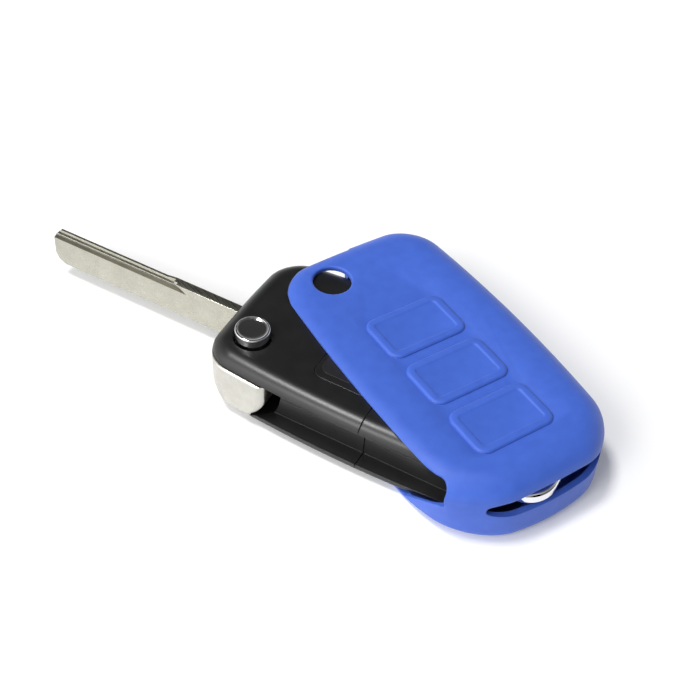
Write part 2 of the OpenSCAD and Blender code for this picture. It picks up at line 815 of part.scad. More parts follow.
// Cradle of the glass capsule on the bottom of the head unit
module capsule_cradle() {
    w = capsule_d + 2 * shell_t;
    difference() {
        box([capsule_x - w / 2, capsule_y - capsule_l / 4, key_in_z0 - part_gap],
            [capsule_x + w / 2, capsule_y + capsule_l / 4, key_in_z0 + capsule_d]);
        translate([capsule_x, capsule_y + capsule_l / 2, key_in_z0 + capsule_d])
            rotate([90, 0, 0])
                cylinder(d = capsule_d + 2 * part_gap, h = capsule_l, $fn = small);
    }
}

module keyring_bow() {
    color("silver")
        swung()
            bow_plate(0);
}

// Blade with its tang in the hub's side
module key_blade() {
    z0 = blade_z - blade_h / 2;
    z1 = blade_z + blade_h / 2;
    y0 = block_front;
    rows = [[-block_back, blade_z - tang_h / 2], [y0, blade_z - tang_h / 2], [y0, z0],
        [blade_l - tip_l, z0], [blade_l - tip_l / 3, z0 + tip_l / 3], [blade_l, z0 + tip_l],
        [blade_l, z1 - blade_step - tip_l / 3], [blade_l - tip_l / 3, z1 - blade_step],
        [groove_end + tip_l, z1 - blade_step], [groove_end, z1], [y0, z1],
        [y0, blade_z + tang_h / 2], [-block_back, blade_z + tang_h / 2]];
    color("gainsboro")
        swung()
            at_pivot()
                difference() {
                    multmatrix([[0, 0, 1, blade_off - blade_t / 2], [1, 0, 0, 0], [0, 1, 0, 0],
                        [0, 0, 0, 1]])
                        linear_extrude(blade_t)
                            polygon(rows);
                    box([blade_off - groove_w / 2, groove_end, z1 - blade_step - groove_d],
                        [blade_off + groove_w / 2, blade_l + over, z1 + over]);
                    for (s = [0, 1])
                        translate([blade_off, 0, blade_z])
                            mirror([s, 0, 0])
                                translate([-blade_t / 2, groove_end, -blade_h / 2])
                                    rotate([0, 45, 0])
                                        cube([edge_bevel, blade_l, edge_bevel], center = false);
                    tang_bore(tang_pin_d + 2 * part_gap);
                }
}

module tang_bore(d) {
    x0 = release_seat_d / 2 + tang_root;
    translate([x0, (block_front - block_back) / 4, blade_z])
        rotate([0, 90, 0])
            cylinder(d = d, h = block_out - x0, $fn = small);
}

// Round plate whose side draws in by w over its lowest h
module bowl(r, w, h, z0, z1) {
    rows = [for (i = [0 : corner_steps]) let (a = 90 * i / corner_steps)
        [r - w * (1 - sin(a)), z0 + h * (1 - cos(a))]];
    rotate_extrude($fn = fine)
        polygon(concat([[0, z1], [0, z0]], rows, [[r, z1]]));
}

// Keeps all of the cheek but the shoulder's lower corner, which it draws round
module shoulder_corner() {
    y0 = shoulder_low_r - shoulder_back;
    z0 = hub_z0 + shoulder_low_r;
    box([-hub_reach, -hub_reach, z0], [0, hub_reach, hub_z1]);
    box([-hub_reach, y0, hub_z0], [0, hub_reach, hub_z1]);
    translate([-hub_reach, y0, z0])
        rotate([0, 90, 0])
            cylinder(r = shoulder_low_r, h = hub_reach, $fn = fine);
}

// Outer part of the hub, in the key's corner
module hub_cheek() {
    intersection() {
        translate([0, -cheek_back, 0])
            bowl(cheek_r, cheek_low_w, cheek_low_h, hub_z0, hub_z1);
        translate([pivot_x, -pivot_y, 0])
            pillow(key_inset - hub_out, no_lip, no_lip, hub_z0, hub_z1, hub_low_r, hub_top_r, hub_top_r);
        shoulder_corner();
        union() {
            box([-hub_reach, shoulder_r - shoulder_back, hub_z0], [0, hub_reach, hub_z1]);
            box([-shoulder_x, -shoulder_back, hub_z0], [0, 0, hub_z1]);
            translate([-shoulder_x, shoulder_r - shoulder_back, 0])
                rod(2 * shoulder_r, hub_z0, hub_z1, small);
        }
    }
}

// Outer form of the hub: it carries the blade on its inner side
module hub_form() {
    rod(2 * hub_r, hub_z0, hub_z1, fine);
    intersection() {
        bowl(hub_reach, bowl_w, bowl_h, hub_z0, hub_z1);
        union() {
            hub_cheek();
            box([block_in, -block_back, hub_z0], [block_out, block_front, hub_z1]);
        }
    }
}

module blade_hub() {
    color("silver")
        swung()
            at_pivot()
                difference() {
                    hub_form();
                    box([blade_off - blade_t / 2 - part_gap, -block_back - over,
                        blade_z - tang_h / 2 - part_gap],
                        [block_out + over, block_front + over, blade_z + tang_h / 2 + part_gap]);
                    rod(release_seat_d, release_seat_z, hub_z1 + over, fine);
                    rod(release_stem_d + 2 * run_fit, hub_z0 - over, hub_z1, fine);
                    rod(flip_seat_d, hub_z0 - over, hub_z0 + flip_seat_h, fine);
                    tang_bore(tang_pin_d + 2 * part_gap);
                }
}

module tang_pin() {
    color("darkgray")
        swung()
            at_pivot()
                tang_bore(tang_pin_d);
}

module hub_pin() {
    color("darkgray")
        swung()
            at_pivot()
                rod(hub_pin_d, pocket_z0 - hub_pin_root + part_gap, hub_pin_top, small);
}

// Middle line of a coil about the pivot
function coil_line(r, z0, z1) = let (n = coil_turns * coil_steps) [for (i = [0 : n])
    let (a = 360 * i / coil_steps) [r * cos(a), r * sin(a), z0 + wire_d / 2 + (z1 - z0 - wire_d) * i / n]];

// Coiled wire, one unbroken tube; prints the least gap between its turns
module coil(r, z0, z1) {
    line = coil_line(r, z0, z1);
    n = len(line);
    echo(least_gap = min([for (i = [0 : n - 1]) for (j = [i + 1 : n - 1])
        if (j - i > coil_steps / 2) norm(line[i] - line[j])]) - wire_d);
    loft([for (i = [0 : n - 1]) let (a = 360 * i / coil_steps)
        [for (k = [0 : wire_sides - 1]) let (b = 360 * k / wire_sides)
            line[i] + wire_d / 2 * [cos(b) * cos(a), cos(b) * sin(a), -sin(b)]]]);
}

module flip_spring() {
    color("darkgray")
        swung()
            at_pivot()
                coil((hub_pin_d + flip_seat_d) / 4, pocket_z0 + part_gap, hub_z0 + flip_seat_h - part_gap);
}

module release_button() {
    z1 = release_top;
    zf = hub_z1 - release_flange_t;
    dish = (dish_r * dish_r + dish_d * dish_d) / (2 * dish_d);
    color("silver")
        swung()
            at_pivot()
                difference() {
                    union() {
                        rod(release_d, hub_z1 - part_gap, z1 - rim_bevel, fine);
                        translate([0, 0, z1 - rim_bevel])
                            cylinder(d1 = release_d, d2 = release_d - 2 * rim_bevel, h = rim_bevel,
                                $fn = fine);
                        rod(release_flange_d, zf, hub_z1, fine);
                        rod(release_stem_d, stem_z0, zf + over / 2, fine);
                    }
                    translate([0, 0, z1 + dish - dish_d])
                        sphere(dish, $fn = fine);
                }
}

module release_spring() {
    color("darkgray")
        swung()
            at_pivot()
                coil((release_stem_d + release_flange_d) / 4, release_seat_z + part_gap,
                    hub_z1 - release_flange_t - part_gap);
}

// One remote button, centre in plan at the origin
module key_button() {
    slab(key_button_w, key_button_l, key_button_r, flange_z1 - part_gap, key_z1 + key_button_proud);
    slab(key_button_w + 2 * flange_reach, key_button_l + 2 * flange_reach, key_button_r,
        flange_z0, flange_z1);
}

module unlock_button() {
    color("black")
        swung()
            translate([button_x, button_ys[0], 0])
                key_button();
}

module boot_button() {
    color("black")
        swung()
            translate([button_x, button_ys[1], 0])
                key_button();
}

module lock_button() {
    color("black")
        swung()
            translate([button_x, button_ys[2], 0])
                key_button();
}

// Rubber mat on the board, with a nub over each switch
module button_mat() {
    x0 = -board_left + 2 * post_d;
    color("slategray")
        swung()
            union() {
                difference() {
                    box([x0, -board_tail, board_z1 + part_gap], [board_right, board_front, mat_z1]);
                    box([x0 + mat_t, mat_t - board_tail, board_z1 - over],
                        [board_right - mat_t, board_front - mat_t, mat_z0]);
                }
                for (y = button_ys)
                    translate([button_x, y, 0])
                        rod(nub_d, board_z1 + switch_h + part_gap, mat_z0 + over / 2, small);
            }
}

module circuit_board() {
    color("darkgreen")
        swung()
            box([-board_left, -board_tail, board_z0], [board_right, board_front, board_z1]);
}

module tact_switches() {
    color("lightgray")
        swung()
            for (y = button_ys)
                translate([button_x, y, 0])
                    slab(switch_w, switch_w, switch_r, board_z1, board_z1 + switch_h);
}

module board_chips() {
    color("black")
        swung()
            for (y = [(button_ys[0] + button_ys[1]) / 2, (button_ys[1] + button_ys[2]) / 2])
                translate([button_x, y, board_z1])
                    box([-chip_w / 2, -chip_w / 3, 0], [chip_w / 2, chip_w / 3, chip_h]);
}

module battery_cell() {
    color("silver")
        swung()
            translate([-cell_x, -cell_y, 0])
                rod(cell_d, cell_z0, cell_z1, fine);
}

// Flat leaf under the battery, with a tab up to the board
module battery_contact_minus() {
    y0 = -cell_y + cell_d / 2 + fold_gap;
    z0 = key_in_z0 + part_gap;
    color("goldenrod")
        swung()
            translate([-cell_x, 0, 0]) {
                box([-leaf_w / 2, -cell_y, z0], [leaf_w / 2, y0 + leaf_t, z0 + leaf_t]);
                box([-leaf_w / 2, y0, z0], [leaf_w / 2, y0 + leaf_t, board_z0 - part_gap]);
            }
}

// Leaf on the battery, with a tab up to the board
module battery_contact_plus() {
    y0 = -cell_y - cell_d / 2 - fold_gap;
    z0 = cell_z1 + part_gap;
    color("goldenrod")
        swung()
            translate([-cell_x, 0, 0]) {
                box([-leaf_w / 2, y0 - leaf_t, z0], [leaf_w / 2, -cell_y, z0 + leaf_t]);
                box([-leaf_w / 2, y0 - leaf_t, z0], [leaf_w / 2, y0, board_z0 - part_gap]);
            }
}

module transponder_capsule() {
    color("white")
        swung()
            translate([capsule_x, capsule_y + capsule_l / 2, key_in_z0 + capsule_d])
                rotate([90, 0, 0])
                    cylinder(d = capsule_d, h = capsule_l, $fn = small);
}

module shell_screws() {
    color("silver")
        swung()
            for (q = [[head_screw_x, head_screw_y, 0], [tail_screw_x, -tail_screw_y, 0]])
                translate(q) {
                    rod(screw_head_d, key_z0 + part_gap, key_z0 + screw_head_h, small);
                    rod(screw_d, key_z0 + screw_head_h - part_gap, key_in_z1 - shell_t, small);
                }
}

silicone_cover();
head_upper_shell();
head_lower_shell();
remote_upper_shell();
remote_lower_shell();
battery_hatch();
keyring_bow();
key_blade();
blade_hub();
tang_pin();
hub_pin();
flip_spring();
release_button();
release_spring();
unlock_button();
boot_button();
lock_button();
button_mat();
circuit_board();
tact_switches();
board_chips();
battery_cell();
battery_contact_plus();
battery_contact_minus();
transponder_capsule();
shell_screws();
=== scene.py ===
"""Looks of a soft silicone cover that is swung half off the folding key it protects.

Shapes are drawn in millimetres and scaled to metres. The key's are drawn in its seated
place and turned to where it lies, so that every piece lies on the solid it stands for.
"""

import math

import bmesh
import bpy
from mathutils import Matrix, Vector


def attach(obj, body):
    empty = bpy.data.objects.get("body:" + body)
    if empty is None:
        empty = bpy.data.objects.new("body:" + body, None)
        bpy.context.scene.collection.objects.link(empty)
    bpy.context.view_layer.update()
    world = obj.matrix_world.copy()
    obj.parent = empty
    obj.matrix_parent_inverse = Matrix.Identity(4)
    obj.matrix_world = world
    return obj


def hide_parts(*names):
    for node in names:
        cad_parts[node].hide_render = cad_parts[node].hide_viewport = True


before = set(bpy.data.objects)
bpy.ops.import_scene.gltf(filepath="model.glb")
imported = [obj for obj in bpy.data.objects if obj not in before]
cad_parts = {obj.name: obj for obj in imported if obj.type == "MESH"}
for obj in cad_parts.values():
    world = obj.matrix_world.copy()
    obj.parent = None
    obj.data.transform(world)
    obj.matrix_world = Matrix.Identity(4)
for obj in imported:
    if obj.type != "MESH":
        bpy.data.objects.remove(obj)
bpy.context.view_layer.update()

MM = 0.001

# Cover: outline, how far its sides bow out, sheets and wall
COVER_W = 38.3
COVER_L = 76.3
COVER_H = 16.4
HEAD_CORNER_R = 9.2
MOUTH_CORNER_R = 8.0
TAIL_CORNER_R = 11.0
LEAST_R = 0.4
SIDE_BOW = 2.2
TAIL_BOW = 1.3
HEAD_BOW = 0.6
WALL_T = 1.3
FLOOR_T = 1.2
ROOF_T = 1.1
ROOF_Z = COVER_H - ROOF_T

# Cover: round of its edges, an upper edge's across and up
TOP_ROUND = (6.0, 5.0)
LOW_ROUND = 3.0
INNER_ROUND = (4.6, 4.0)
INNER_LOW = 1.8

# Cover: lips of the open side, each with its reach, middle, half length and the tail's swell
TOP_LIP = (3.9, -1.0, 31.5, 0.0)
LOW_LIP = (2.2, 2.0, 27.5, 1.0)
NO_LIP = (0.0, 0.0, 31.5, 0.0)
LIP_POWER = 8
LIP_EDGE = 22.0
LIP_ARC_R = 375.0
LIP_ARC_MID = 5.0

# Cover: button hole, side mouth, open head and tail slot
HOLE_D = 8.5
HOLE_BEVEL = 0.5
WALL_START = 30.1
SKIRT_H = 8.6
SKIRT_START = 19.0
SKIRT_R = 1.2
MOUTH_R = 2.8
HEAD_WALL_X = 1.0
SLOT_HALF_W = 14.8
SLOT_HALF_H = 2.4
SLOT_Z = 9.5
SLOT_LIFT = 0.3
SLOT_POWER = 2 / 3

# Cover: pads, each with a groove round it and a shallow field inside its edge
PAD_W = 19.2
PAD_L = 12.4
PAD_R = 2.6
PAD_H = 0.3
PAD_PITCH = 14.8
PAD_X = -1.75
PAD_Y = -7.2
PAD_EDGE = 0.4
PAD_ROOT = 0.5
PAD_GROOVE_W = 0.6
PAD_GROOVE_FLOOR = PAD_GROOVE_W / 4
PAD_GROOVE_D = 0.2
FIELD_IN = 1.6
FIELD_EDGE = 0.45
FIELD_DEPTH = 0.22

# Key body: outside, then inside
KEY_INSET = WALL_T + 0.45
KEY_Z0 = 1.5
KEY_Z1 = 15.0
KEY_ROUND = (3.6, 3.2)
KEY_LOW = 0.9
SHELL_T = 1.2
KEY_IN_Z0 = 2.9
KEY_IN_Z1 = 13.4
KEY_INNER_R = 1.6

# Key body: seams between its shells, button panel and tail notch
SPLIT_Z = 8.0
PART_GAP = 0.05
PANEL_GAP = 0.15
SEAM_Y = -2.4
PANEL_FRONT = 12.8
PANEL_LEFT = -12.1
PANEL_RIGHT = 8.6
PANEL_R = 2.4
NOTCH_HALF_W = 10.0
NOTCH_Y = -31.6

# Key body: pocket of the hub and slot of the blade; a bowl draws in by this much over this height
POCKET_R = 12.6
POCKET_WALL = 0.9
POCKET_Z0 = 2.0
BOWL = (2.7, 7.0)
SLOT_Z0 = 3.1
SLOT_Z1 = 12.6
CORNER_BACK = 2.2
CORNER_START = 5.0

# Swing of the key out of the cover
SWING = Vector((-10.7, -20.5, 0.0))
SWING_REST = math.radians(27.9)

# Hub, about the pivot
PIVOT = Vector((-9.35, 28.35, 0.0))
HUB_R = 6.2
HUB_REACH = 12.2
HUB_OUT = 0.4
HUB_Z0 = 2.15
HUB_Z1 = 12.3
HUB_LOW_R = 0.9
HUB_TOP_R = 0.5
CHEEK_R = 11.0
CHEEK_BACK = 3.0
CHEEK_LOW = (1.8, 6.0)
SHOULDER_BACK = 8.6
SHOULDER_R = 2.2
SHOULDER_LOW_R = 7.0
SHOULDER_X = math.sqrt((HUB_REACH - SHOULDER_R) ** 2 - (SHOULDER_BACK - SHOULDER_R) ** 2)
BLOCK_FRONT = 6.4
BLOCK_BACK = 4.0
BLOCK_IN = 3.0
RELEASE_HOLE_D = 8.5
RELEASE_SEAT_D = 9.7
RELEASE_SEAT_Z = 7.6
RELEASE_STEM_D = 3.4
RUN_FIT = 0.06
FLIP_SEAT_D = 9.0
FLIP_SEAT_H = 2.4

# Blade, with a groove along its edge and a relief beside the groove
BLADE_OFF = 8.0
BLADE_T = 2.2
BLADE_H = 8.8
BLADE_L = 57.2
BLADE_Z = 7.85
BLADE_Z0 = BLADE_Z - BLADE_H / 2
BLADE_Z1 = BLADE_Z + BLADE_H / 2
BLADE_STEP = 0.4
BLADE_TOP = BLADE_Z1 - BLADE_STEP
NEAR_FACE = BLADE_OFF - BLADE_T / 2
FAR_FACE = BLADE_OFF + BLADE_T / 2
TANG_H = 6.4
TIP_L = 2.6
TIP_CUT = TIP_L / 3
GROOVE_W = 0.9
GROOVE_D = 0.45
GROOVE_END = 25.0
RELIEF_H = 1.3
RELIEF_Z = BLADE_TOP - RELIEF_H
RELIEF_D = 0.75
RELIEF_RISE = 0.3
RELIEF_RUN = 3.6
STEP_TILT = 0.5
EDGE_ROUND = 0.08

# Room of the folded blade in the key
FOLD_GAP = 0.4
SLOT_IN = NEAR_FACE - PIVOT.x - FOLD_GAP
CHANNEL_X = PIVOT.x + FAR_FACE + FOLD_GAP

# Release button
RELEASE_D = 7.5
RELEASE_TOP = 17.4
RELEASE_FLANGE_D = 9.5
RELEASE_FLANGE_Z = 11.4
RELEASE_STEM_Z = 7.2
RIM_ROUND = 0.3
RIM_INNER = RIM_ROUND / 2
DISH_R = 3.2
DISH_D = 0.6

# Bow at the tail
BOW_HALF_W = 14.8
BOW_SHIFT = 0.6
BOW_REACH = 41.3
BOW_LEGS = 28.6
BOW_R = 7.0
BOW_BAR = 2.5
BOW_T = 2.8
BOW_ROUND = 0.9

# Steps of the round forms, reach past what is cut, and clean-up of the cut meshes
CORNER_STEPS = 20
SIDE_STEPS = 16
ROUND_STEPS = 9
PAD_STEPS = 6
EDGE_STEPS = 3
LIP_STEPS = 720
FINE = 96
FAR = 100.0
OVER = 0.5
WELD = 0.0005
SHARP = math.radians(32)

# Grain of the finishes: usual relief as strength and depth, worn edges, noise used and its detail
PLAIN_BUMP = (0.2, 0.02)
EVEN = (1.0, 1.0, 1.0)
WORN_EDGE = 0.12
BEVEL_SAMPLES = 6
NOISE_LOW = 0.3
NOISE_HIGH = 0.7
FINE_DETAIL = 3
BROAD_DETAIL = 2
BROAD_GRAINS = 12

# Finishes of the inner pieces: name, two colours, roughness, grain, metal and the pieces
INNER_FINISHES = (
    ("pin_steel", (0.5, 0.5, 0.5), (0.6, 0.6, 0.6), (0.25, 0.4), 0.2, 1.0, ("tang_pin", "hub_pin")),
    ("spring_steel", (0.4, 0.4, 0.42), (0.5, 0.5, 0.52), (0.25, 0.4), 0.1, 1.0,
        ("flip_spring", "release_spring")),
    ("button_rubber", (0.008, 0.008, 0.009), (0.013, 0.013, 0.014), (0.42, 0.52), 0.2, 0.0,
        ("unlock_button", "boot_button", "lock_button")),
    ("mat_rubber", (0.10, 0.11, 0.12), (0.14, 0.15, 0.16), (0.5, 0.7), 0.3, 0.0, ("button_mat",)),
    ("board_green", (0.01, 0.09, 0.03), (0.015, 0.13, 0.04), (0.3, 0.45), 0.3, 0.0, ("circuit_board",)),
    ("switch_metal", (0.6, 0.6, 0.58), (0.7, 0.7, 0.68), (0.25, 0.4), 0.2, 1.0, ("tact_switches",)),
    ("chip_black", (0.012, 0.012, 0.012), (0.02, 0.02, 0.02), (0.5, 0.6), 0.1, 0.0, ("board_chips",)),
    ("cell_steel", (0.62, 0.61, 0.59), (0.7, 0.69, 0.67), (0.2, 0.35), 0.15, 1.0, ("battery_cell",)),
    ("contact_brass", (0.7, 0.48, 0.16), (0.8, 0.58, 0.22), (0.25, 0.4), 0.2, 1.0,
        ("battery_contact_plus", "battery_contact_minus")),
    ("capsule_glass", (0.5, 0.52, 0.5), (0.6, 0.62, 0.6), (0.08, 0.15), 0.5, 0.0, ("transponder_capsule",)),
    ("screw_steel", (0.45, 0.45, 0.46), (0.55, 0.55, 0.56), (0.25, 0.4), 0.15, 1.0, ("shell_screws",)),
    ("hatch_black", (0.012, 0.012, 0.013), (0.018, 0.018, 0.019), (0.42, 0.5), 0.25, 0.0,
        ("battery_hatch",)),
)

# Lamps: name, direction, size a metre off and share of the floor's full light
KEY_LAMP = ("key_light", (-0.27, 0.20, 0.94), 0.20, 0.50)
LEFT_LAMP = ("left_light", (-0.73, -0.18, 0.66), 0.32, 0.17)
LAMP_DISTANCE = 2.5

# Pale room: its level, and its dark cloths with direction, outer and inner angle and depth.
# A depth below zero makes a bright wall.
ROOM_LEVEL = 0.88
SHADES = (
    ((0.30, 0.40, 0.87), 66, 24, 0.84),
    ((-0.45, -0.62, 0.35), 55, 20, 0.50),
    ((-0.93, 0.05, 0.28), 48, 12, -1.3),
    ((0.50, -0.85, 0.15), 55, 15, 0.75),
)

# Floor, in metres
FLOOR_HALF = 2
FLOOR_COLOUR = (0.95, 0.95, 0.95, 1)
FLOOR_ROUGHNESS = 0.6
FLOOR_SPECULAR = 0.1
FLOOR_GLOW = 0.09
WHITE = (1, 1, 1, 1)

# Camera
CAMERA_TURN = math.radians(-36.68)
CAMERA_RISE = math.radians(45.78)
CAMERA_ROLL = math.radians(4.74)
CAMERA_DISTANCE = 286.24
CAMERA_TARGET = Vector((-12.77, 15.26, 8.0))
CAMERA_CLIP = 10
FOCAL_PX = 1328.23
IMAGE_PX = 700.0
SENSOR = 36.0


def solid(name, points, faces):
    """New closed mesh in millimetres."""
    mesh = bpy.data.meshes.new(name)
    mesh.from_pydata(points, [], faces)
    obj = bpy.data.objects.new(name, mesh)
    bpy.context.scene.collection.objects.link(obj)
    return obj


def quarter(steps):
    """Angles from 0 to a right angle."""
    return [math.pi / 2 * i / steps for i in range(steps + 1)]


def corner(cx, cy, r, start):
    """Quarter circle of points about a corner's centre."""
    turns = [math.radians(start + 90 * i / CORNER_STEPS) for i in range(CORNER_STEPS + 1)]
    return [(cx + r * math.cos(a), cy + r * math.sin(a)) for a in turns]


def between(a, b):
    """Points between two ends, without the ends."""
    shares = [i / SIDE_STEPS for i in range(1, SIDE_STEPS)]
    return [(a[0] + (b[0] - a[0]) * s, a[1] + (b[1] - a[1]) * s) for s in shares]


def plain(w, l, head, mouth, tail):
    """Plain rounded rectangle, head end towards +Y."""
    x = w / 2
    y = l / 2
    return (
        corner(x - tail, tail - y, tail, -90)
        + between((x, tail - y), (x, y - head))
        + corner(x - head, y - head, head, 0)
        + between((x - head, y), (mouth - x, y))
        + corner(mouth - x, y - mouth, mouth, 90)
        + between((-x, y - mouth), (-x, tail - y))
        + corner(tail - x, tail - y, tail, 180)
        + between((tail - x, -y), (x - tail, -y))
    )


def bowed(q, w, l, lip):
    """A point of the plain outline moved out by its side's bow, the open lip and the tail's swell."""
    reach, lip_middle, half_length, swell = lip
    u = 2 * q[0] / w
    v = 2 * q[1] / l
    x = q[0] + SIDE_BOW * (1 - v * v) * u * abs(u)
    if u < 0:
        x -= reach * u * u / (1 + (abs(q[1] - lip_middle) / half_length) ** LIP_POWER)
    middle = 1 - u * u
    end = HEAD_BOW * middle if v > 0 else -TAIL_BOW * middle - swell * middle ** 3
    return x, q[1] + end * v * v + (TAIL_BOW - HEAD_BOW) / 2


def ring(inset, lip, z):
    """Cover's outline drawn in by the inset, at one height."""
    w = COVER_W - 2 * inset
    l = COVER_L - 2 * inset - HEAD_BOW - TAIL_BOW
    radii = [max(r - inset, LEAST_R) for r in (HEAD_CORNER_R, MOUTH_CORNER_R, TAIL_CORNER_R)]
    return [(*bowed(q, w, l, lip), z) for q in plain(w, l, *radii)]


def loft(name, rings):
    """Closed solid through a stack of rings of equal count.

    Its faces look outwards where the rings run anticlockwise as seen from the last one.
    """
    n = len(rings[0])
    faces = [list(range(n - 1, -1, -1))]
    for k in range(len(rings) - 1):
        for i in range(n):
            a = k * n + i
            b = k * n + (i + 1) % n
            faces.append((a, b, b + n, a + n))
    faces.append(list(range((len(rings) - 1) * n, len(rings) * n)))
    return solid(name, [p for r in rings for p in r], faces)


def pillow(name, inset, lips, z0, z1, low, top):
    """Outline solid with rounded lower and upper edges."""
    rings = []
    for a in quarter(ROUND_STEPS):
        rings.append(ring(inset + low * (1 - math.sin(a)), lips[0], z0 + low * (1 - math.cos(a))))
    for a in quarter(ROUND_STEPS):
        rings.append(ring(inset + top[0] * (1 - math.cos(a)), lips[1], z1 - top[1] * (1 - math.sin(a))))
    return loft(name, rings)


def box(a, b):
    """Box between two corners."""
    plan = ((a[0], a[1]), (b[0], a[1]), (b[0], b[1]), (a[0], b[1]))
    corners = [(x, y, z) for z in (a[2], b[2]) for x, y in plan]
    faces = [(3, 2, 1, 0), (4, 5, 6, 7), (0, 1, 5, 4), (1, 2, 6, 5), (2, 3, 7, 6), (3, 0, 4, 7)]
    return solid("box", corners, faces)


def prism(points, z0, z1):
    """Upright solid over an outline."""
    return loft("prism", [[(*p, z0) for p in points], [(*p, z1) for p in points]])


def circle(r, steps=FINE, centre=(0.0, 0.0)):
    """Outline of a circle."""
    turns = [2 * math.pi * i / steps for i in range(steps)]
    return [(centre[0] + r * math.cos(a), centre[1] + r * math.sin(a)) for a in turns]


def rod(d, z0, z1, centre=(0.0, 0.0)):
    """Upright cylinder."""
    return prism(circle(d / 2, FINE, centre), z0, z1)


def rounded(w, l, r, centre=(0.0, 0.0)):
    """Outline of a rounded rectangle."""
    x = w / 2 - r
    y = l / 2 - r
    points = corner(x, -y, r, -90) + corner(x, y, r, 0) + corner(-x, y, r, 90) + corner(-x, -y, r, 180)
    return [(p[0] + centre[0], p[1] + centre[1]) for p in points]


def lathe(name, profile):
    """Solid of revolution about the upright axis, through these radii and heights."""
    return loft(name, [[(*q, z) for q in circle(r)] for r, z in profile])


def baked(obj):
    """The object with its modifiers applied."""
    graph = bpy.context.evaluated_depsgraph_get()
    mesh = bpy.data.meshes.new_from_object(obj.evaluated_get(graph))
    obj.modifiers.clear()
    obj.data = mesh
    return obj


def combined(obj, other, how):
    """Cuts or joins one solid with another, which it uses up."""
    step = obj.modifiers.new(how, "BOOLEAN")
    step.operation = how
    step.solver = "MANIFOLD"
    step.object = other
    baked(obj)
    bpy.data.objects.remove(other)
    return obj


def minus(obj, *others):
    """Takes the others away."""
    for other in others:
        combined(obj, other, "DIFFERENCE")
    return obj


def plus(obj, *others):
    """Adds the others."""
    for other in others:
        combined(obj, other, "UNION")
    return obj


def both(obj, *others):
    """Keeps only what lies in all of them."""
    for other in others:
        combined(obj, other, "INTERSECT")
    return obj


def moved(obj, offset):
    """Moves the mesh itself."""
    obj.data.transform(Matrix.Translation(offset))
    return obj


def copied(obj, name):
    """A copy with a mesh of its own."""
    twin = obj.copy()
    twin.data = obj.data.copy()
    twin.name = name
    bpy.context.scene.collection.objects.link(twin)
    return twin


def smoothed(obj):
    """Smooth shading, with the sharp edges kept."""
    mesh = bmesh.new()
    mesh.from_mesh(obj.data)
    bmesh.ops.remove_doubles(mesh, verts=mesh.verts, dist=WELD)
    bmesh.ops.dissolve_degenerate(mesh, edges=mesh.edges, dist=WELD)
    bmesh.ops.recalc_face_normals(mesh, faces=mesh.faces)
    for face in mesh.faces:
        face.smooth = True
    for edge in mesh.edges:
        edge.smooth = len(edge.link_faces) == 2 and edge.calc_face_angle(0) < SHARP
    mesh.to_mesh(obj.data)
    mesh.free()
    return obj


def swing_place():
    """From the seated place to where the key lies, in metres."""
    turn = Matrix.Translation(SWING) @ Matrix.Rotation(SWING_REST, 4, "Z") @ Matrix.Translation(-SWING)
    return Matrix.Scale(MM, 4) @ turn


def placed(obj, name, body, nodes, material, seated=True):
    """Puts a finished piece in its place, on its body and over the solids it stands for."""
    obj.name = name
    obj.data.name = name
    obj.data.transform(swing_place() if seated else Matrix.Scale(MM, 4))
    obj.data.materials.clear()
    obj.data.materials.append(material)
    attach(obj, body)
    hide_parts(*nodes)
    return obj


def new_material(name):
    """Empty material with its node tree and shader."""
    material = bpy.data.materials.new(name)
    material.use_nodes = True
    return material, material.node_tree, shader_of(material)


def shader_of(material):
    """The material's main shader."""
    return material.node_tree.nodes["Principled BSDF"]


def noise(tree, size, detail, stretch=EVEN):
    """Noise over the piece's own coordinates, size in millimetres a grain."""
    place = tree.nodes.new("ShaderNodeTexCoord")
    scale = tree.nodes.new("ShaderNodeMapping")
    scale.inputs["Scale"].default_value = stretch
    grain = tree.nodes.new("ShaderNodeTexNoise")
    grain.inputs["Scale"].default_value = 1 / (size * MM)
    grain.inputs["Detail"].default_value = detail
    tree.links.new(place.outputs["Object"], scale.inputs["Vector"])
    tree.links.new(scale.outputs["Vector"], grain.inputs["Vector"])
    return grain.outputs["Fac"]


def spread(tree, source, low, high):
    """Maps noise to a range of values."""
    ramp = tree.nodes.new("ShaderNodeMapRange")
    ramp.inputs["From Min"].default_value = NOISE_LOW
    ramp.inputs["From Max"].default_value = NOISE_HIGH
    ramp.inputs["To Min"].default_value = low
    ramp.inputs["To Max"].default_value = high
    tree.links.new(source, ramp.inputs["Value"])
    return ramp.outputs["Result"]


def tinted(tree, source, first, second):
    """Mixes two colours by noise."""
    mix = tree.nodes.new("ShaderNodeMix")
    mix.data_type = "RGBA"
    mix.inputs["A"].default_value = (*first, 1)
    mix.inputs["B"].default_value = (*second, 1)
    tree.links.new(spread(tree, source, 0, 1), mix.inputs["Factor"])
    return mix.outputs["Result"]


def bumps(tree, edge, height, strength, depth):
    """Worn edges of that radius under a fine relief of that depth, both in millimetres."""
    soft = tree.nodes.new("ShaderNodeBevel")
    soft.samples = BEVEL_SAMPLES
    soft.inputs["Radius"].default_value = edge * MM
    bump = tree.nodes.new("ShaderNodeBump")
    bump.inputs["Strength"].default_value = strength
    bump.inputs["Distance"].default_value = depth * MM
    tree.links.new(height, bump.inputs["Height"])
    tree.links.new(soft.outputs["Normal"], bump.inputs["Normal"])
    return bump.outputs["Normal"]


